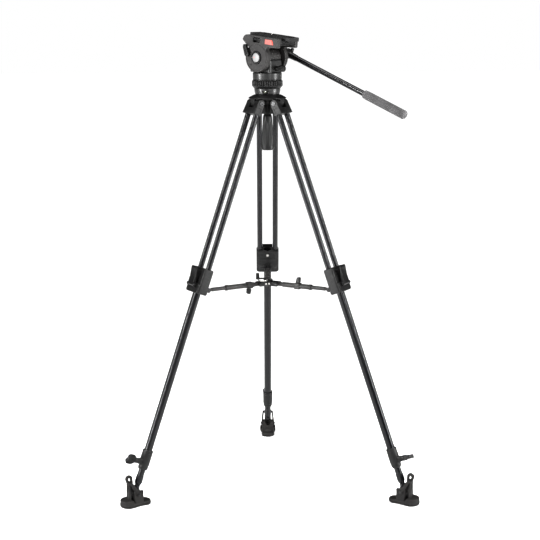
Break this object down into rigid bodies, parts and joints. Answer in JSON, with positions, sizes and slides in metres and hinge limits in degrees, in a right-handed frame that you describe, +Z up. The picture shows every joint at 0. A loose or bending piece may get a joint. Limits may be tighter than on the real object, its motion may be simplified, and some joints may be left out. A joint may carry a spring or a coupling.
{
  "type": "video tripod with fluid head",
  "caption": "Two-stage tripod with twin upper tubes, mid-level spreader, levelling bowl and a pan-tilt fluid head with a sliding camera plate and a pan bar.",
  "frame": {"origin": "on the floor, under the middle of the whole object's box; the tripod's vertical axis stands at X 0.0000, Y -0.1244", "axes": "+Z up; legs at azimuths 90 (rear), 210 and 330 degrees from +X; the pan bar points to +X and -Y"},
  "size_m": [0.9192, 0.8036, 1.4277],
  "materials": {
    "tube": "satin black anodised tube",
    "casting": "matte moulded, fine grain",
    "head": "satin moulded, fine grain",
    "rubber": "matte rubber",
    "steel": "bright satin steel",
    "dial": "pale satin aluminium"
  },
  "bodies": {
    "root": {"bowl_casting": "casting"},
    "ball_washer": {"clamp_washer": "steel"},
    "head_base": {"head_base": "head"},
    "levelling_handle": {"levelling_handle": "rubber"},
    "pan_drag_ring": {"pan_drag_ring": "head"},
    "pan_unit": {"pan_housing": "head", "tilt_drum": "head"},
    "pan_lock_knob": {"pan_lock_knob": "casting"},
    "cradle": {"side_plate_left": "head", "side_plate_right": "head", "platform": "head", "bar_mount": "casting"},
    "tilt_dial": {"tilt_dial": "dial"},
    "tilt_lock_lever": {"tilt_lock_lever": "casting"},
    "plate_latch": {"plate_latch": "casting"},
    "camera_plate": {"camera_plate": "casting"},
    "camera_screw": {"camera_screw": "steel"},
    "pan_bar": {"pan_bar": "tube", "bar_grip": "rubber"},
    "bar_clamp_knob": {"bar_clamp_knob": "casting"},
    "spreader_hub": {"spreader_hub": "casting"},
    "leg_left": {"leg_top_left": "casting", "upper_tube_left_a": "tube", "upper_tube_left_b": "tube", "mid_clamp_left": "casting"},
    "clamp_lever_left": {"clamp_lever_left": "casting"},
    "lower_leg_left": {"lower_tube_left": "tube", "lower_collar_left": "casting"},
    "wing_knob_left": {"wing_knob_left": "casting"},
    "foot_tube_left": {"foot_tube_left": "tube"},
    "foot_left": {"foot_left": "rubber"},
    "arm_rod_left": {"arm_rod_left": "tube"},
    "arm_sleeve_left": {"arm_sleeve_left": "casting"},
    "arm_lock_left": {"arm_lock_left": "casting"},
    "leg_right": {"leg_top_right": "casting", "upper_tube_right_a": "tube", "upper_tube_right_b": "tube", "mid_clamp_right": "casting"},
    "clamp_lever_right": {"clamp_lever_right": "casting"},
    "lower_leg_right": {"lower_tube_right": "tube", "lower_collar_right": "casting"},
    "wing_knob_right": {"wing_knob_right": "casting"},
    "foot_tube_right": {"foot_tube_right": "tube"},
    "foot_right": {"foot_right": "rubber"},
    "arm_rod_right": {"arm_rod_right": "tube"},
    "arm_sleeve_right": {"arm_sleeve_right": "casting"},
    "arm_lock_right": {"arm_lock_right": "casting"},
    "leg_rear": {"leg_top_rear": "casting", "upper_tube_rear_a": "tube", "upper_tube_rear_b": "tube", "mid_clamp_rear": "casting"},
    "clamp_lever_rear": {"clamp_lever_rear": "casting"},
    "lower_leg_rear": {"lower_tube_rear": "tube", "lower_collar_rear": "casting"},
    "wing_knob_rear": {"wing_knob_rear": "casting"},
    "foot_tube_rear": {"foot_tube_rear": "tube"},
    "foot_rear": {"foot_rear": "rubber"},
    "arm_rod_rear": {"arm_rod_rear": "tube"},
    "arm_sleeve_rear": {"arm_sleeve_rear": "casting"},
    "arm_lock_rear": {"arm_lock_rear": "casting"}
  },
  "joints": [
    {"name": "level_side_to_side", "type": "hinge", "parent": "root", "child": "ball_washer", "pos_m": [0, -0.1244, 1.2538], "axis": [0, 1, 0], "range_deg": [-5, 5]},
    {"name": "level_fore_and_aft", "type": "hinge", "parent": "ball_washer", "child": "head_base", "pos_m": [0, -0.1244, 1.2538], "axis": [1, 0, 0], "range_deg": [-5, 5]},
    {"name": "levelling_handle_turn", "type": "hinge", "parent": "head_base", "child": "levelling_handle", "pos_m": [0, -0.1244, 0], "axis": [0, 0, 1], "range_deg": [0, 360]},
    {"name": "pan_drag_turn", "type": "hinge", "parent": "head_base", "child": "pan_drag_ring", "pos_m": [0, -0.1244, 0], "axis": [0, 0, 1], "range_deg": [0, 150]},
    {"name": "pan", "type": "hinge", "parent": "head_base", "child": "pan_unit", "pos_m": [0, -0.1244, 0], "axis": [0, 0, 1], "continuous": true},
    {"name": "pan_lock_turn", "type": "hinge", "parent": "pan_unit", "child": "pan_lock_knob", "pos_m": [0.03589, -0.15672, 1.3178], "axis": [0.7431, -0.6691, 0], "range_deg": [0, 180]},
    {"name": "tilt", "type": "hinge", "parent": "pan_unit", "child": "cradle", "pos_m": [0, -0.1244, 1.351], "axis": [0.6691, 0.7431, 0], "range_deg": [-81, 38]},
    {"name": "tilt_dial_turn", "type": "hinge", "parent": "cradle", "child": "tilt_dial", "pos_m": [-0.03346, -0.16156, 1.351], "axis": [-0.6691, -0.7431, 0], "range_deg": [-90, 90]},
    {"name": "tilt_lock_swing", "type": "hinge", "parent": "cradle", "child": "tilt_lock_lever", "pos_m": [-0.05742, -0.14038, 1.36241], "axis": [0.6691, 0.7431, 0], "range_deg": [-60, 0]},
    {"name": "plate_latch_press", "type": "slide", "parent": "cradle", "child": "plate_latch", "axis": [0.6691, 0.7431, 0], "range_m": [0, 0.003], "stiffness_N_per_m": 600, "springref_m": -0.002},
    {"name": "camera_plate_slide", "type": "slide", "parent": "cradle", "child": "camera_plate", "axis": [-0.7391, 0.6655, 0.1045], "range_m": [-0.03, 0.03]},
    {"name": "camera_screw_turn", "type": "hinge", "parent": "camera_plate", "child": "camera_screw", "pos_m": [0.00887, -0.13239, 1.34975], "axis": [0.0777, -0.0699, 0.9945], "range_deg": [0, 360]},
    {"name": "pan_bar_swing", "type": "hinge", "parent": "cradle", "child": "pan_bar", "pos_m": [0.06255, -0.08653, 1.36084], "axis": [0.6691, 0.7431, 0], "range_deg": [-60, 20]},
    {"name": "bar_clamp_turn", "type": "hinge", "parent": "pan_bar", "child": "bar_clamp_knob", "pos_m": [0.06811, -0.08036, 1.36084], "axis": [0.6691, 0.7431, 0], "range_deg": [0, 180]},
    {"name": "leg_fold_left", "type": "hinge", "parent": "root", "child": "leg_left", "pos_m": [-0.03611, -0.14525, 1.212], "axis": [0.5, -0.866, 0], "range_deg": [0, 14]},
    {"name": "leg_fold_right", "type": "hinge", "parent": "root", "child": "leg_right", "pos_m": [0.03611, -0.14525, 1.212], "axis": [0.5, 0.866, 0], "range_deg": [0, 14]},
    {"name": "leg_fold_rear", "type": "hinge", "parent": "root", "child": "leg_rear", "pos_m": [0, -0.0827, 1.212], "axis": [-1, 0, 0], "range_deg": [0, 14]},
    {"name": "spreader_arm_left", "type": "hinge", "parent": "leg_left", "child": "arm_rod_left", "pos_m": [-0.18879, -0.2334, 0.646], "axis": [0.5, -0.866, 0], "range_deg": [0, 58.66]},
    {"name": "arm_telescope_left", "type": "slide", "parent": "arm_rod_left", "child": "arm_sleeve_left", "axis": [-0.866, -0.5, 0], "range_m": [0, 0.0525]},
    {"name": "arm_lock_swing_left", "type": "hinge", "parent": "arm_sleeve_left", "child": "arm_lock_left", "pos_m": [-0.05976, -0.1589, 0.6314], "axis": [0.5, -0.866, 0], "range_deg": [0, 75]},
    {"name": "spreader_arm_right", "type": "hinge", "parent": "leg_right", "child": "arm_rod_right", "pos_m": [0.18879, -0.2334, 0.646], "axis": [0.5, 0.866, 0], "range_deg": [0, 58.66]},
    {"name": "arm_telescope_right", "type": "slide", "parent": "arm_rod_right", "child": "arm_sleeve_right", "axis": [0.866, -0.5, 0], "range_m": [0, 0.0525]},
    {"name": "arm_lock_swing_right", "type": "hinge", "parent": "arm_sleeve_right", "child": "arm_lock_right", "pos_m": [0.0918, -0.1774, 0.6606], "axis": [-0.5, -0.866, 0], "range_deg": [0, 75]},
    {"name": "spreader_arm_rear", "type": "hinge", "parent": "leg_rear", "child": "arm_rod_rear", "pos_m": [0, 0.0936, 0.646], "axis": [-1, 0, 0], "range_deg": [0, 58.66]},
    {"name": "arm_telescope_rear", "type": "slide", "parent": "arm_rod_rear", "child": "arm_sleeve_rear", "axis": [0, 1, 0], "range_m": [0, 0.0525]},
    {"name": "arm_lock_swing_rear", "type": "hinge", "parent": "arm_sleeve_rear", "child": "arm_lock_rear", "pos_m": [0, -0.0554, 0.6314], "axis": [-1, 0, 0], "range_deg": [0, 75]},
    {"name": "hub_rise", "type": "slide", "parent": "root", "child": "spreader_hub", "axis": [0, 0, 1], "range_m": [0, 0.0984]},
    {"name": "clamp_lever_swing_left", "type": "hinge", "parent": "leg_left", "child": "clamp_lever_left", "pos_m": [-0.23605, -0.26069, 0.67212], "axis": [0.5, -0.866, 0], "range_deg": [0, 100]},
    {"name": "lower_leg_slide_left", "type": "slide", "parent": "leg_left", "child": "lower_leg_left", "axis": [0.3022, 0.1744, 0.9372], "range_m": [0, 0.44]},
    {"name": "wing_knob_turn_left", "type": "hinge", "parent": "lower_leg_left", "child": "wing_knob_left", "pos_m": [-0.40798, -0.35995, 0.14261], "axis": [-0.8116, -0.4686, 0.3489], "range_deg": [0, 180]},
    {"name": "foot_tube_slide_left", "type": "slide", "parent": "lower_leg_left", "child": "foot_tube_left", "axis": [-0.3022, -0.1744, -0.9372], "range_m": [0, 0.38]},
    {"name": "ankle_left", "type": "hinge", "parent": "foot_tube_left", "child": "foot_left", "pos_m": [-0.40837, -0.36017, 0.05742], "axis": [0.5, -0.866, 0], "range_deg": [-15, 15]},
    {"name": "clamp_lever_swing_right", "type": "hinge", "parent": "leg_right", "child": "clamp_lever_right", "pos_m": [0.23605, -0.26069, 0.67212], "axis": [0.5, 0.866, 0], "range_deg": [0, 100]},
    {"name": "lower_leg_slide_right", "type": "slide", "parent": "leg_right", "child": "lower_leg_right", "axis": [-0.3022, 0.1744, 0.9372], "range_m": [0, 0.44]},
    {"name": "wing_knob_turn_right", "type": "hinge", "parent": "lower_leg_right", "child": "wing_knob_right", "pos_m": [0.40798, -0.35995, 0.14261], "axis": [0.8116, -0.4686, 0.3489], "range_deg": [0, 180]},
    {"name": "foot_tube_slide_right", "type": "slide", "parent": "lower_leg_right", "child": "foot_tube_right", "axis": [0.3022, -0.1744, -0.9372], "range_m": [0, 0.38]},
    {"name": "ankle_right", "type": "hinge", "parent": "foot_tube_right", "child": "foot_right", "pos_m": [0.40837, -0.36017, 0.05742], "axis": [0.5, 0.866, 0], "range_deg": [-15, 15]},
    {"name": "clamp_lever_swing_rear", "type": "hinge", "parent": "leg_rear", "child": "clamp_lever_rear", "pos_m": [0, 0.14817, 0.67212], "axis": [-1, 0, 0], "range_deg": [0, 100]},
    {"name": "lower_leg_slide_rear", "type": "slide", "parent": "leg_rear", "child": "lower_leg_rear", "axis": [0, -0.3489, 0.9372], "range_m": [0, 0.44]},
    {"name": "wing_knob_turn_rear", "type": "hinge", "parent": "lower_leg_rear", "child": "wing_knob_rear", "pos_m": [0, 0.34669, 0.14261], "axis": [0, 0.9372, 0.3489], "range_deg": [0, 180]},
    {"name": "foot_tube_slide_rear", "type": "slide", "parent": "lower_leg_rear", "child": "foot_tube_rear", "axis": [0, 0.3489, -0.9372], "range_m": [0, 0.38]},
    {"name": "ankle_rear", "type": "hinge", "parent": "foot_tube_rear", "child": "foot_rear", "pos_m": [0, 0.34714, 0.05742], "axis": [-1, 0, 0], "range_deg": [-15, 15]}
  ],
  "couplings": [
    {"joint": "leg_fold_right", "follows": "leg_fold_left", "ratio": 1},
    {"joint": "leg_fold_rear", "follows": "leg_fold_left", "ratio": 1},
    {"joint": "spreader_arm_left", "follows": "leg_fold_left", "ratio": 4.154},
    {"joint": "arm_telescope_left", "follows": "leg_fold_left", "m_per_rad": 0.21281},
    {"joint": "spreader_arm_right", "follows": "leg_fold_left", "ratio": 4.154},
    {"joint": "arm_telescope_right", "follows": "leg_fold_left", "m_per_rad": 0.21281},
    {"joint": "spreader_arm_rear", "follows": "leg_fold_left", "ratio": 4.154},
    {"joint": "arm_telescope_rear", "follows": "leg_fold_left", "m_per_rad": 0.21281},
    {"joint": "hub_rise", "follows": "leg_fold_left", "m_per_rad": 0.40069}
  ]
}
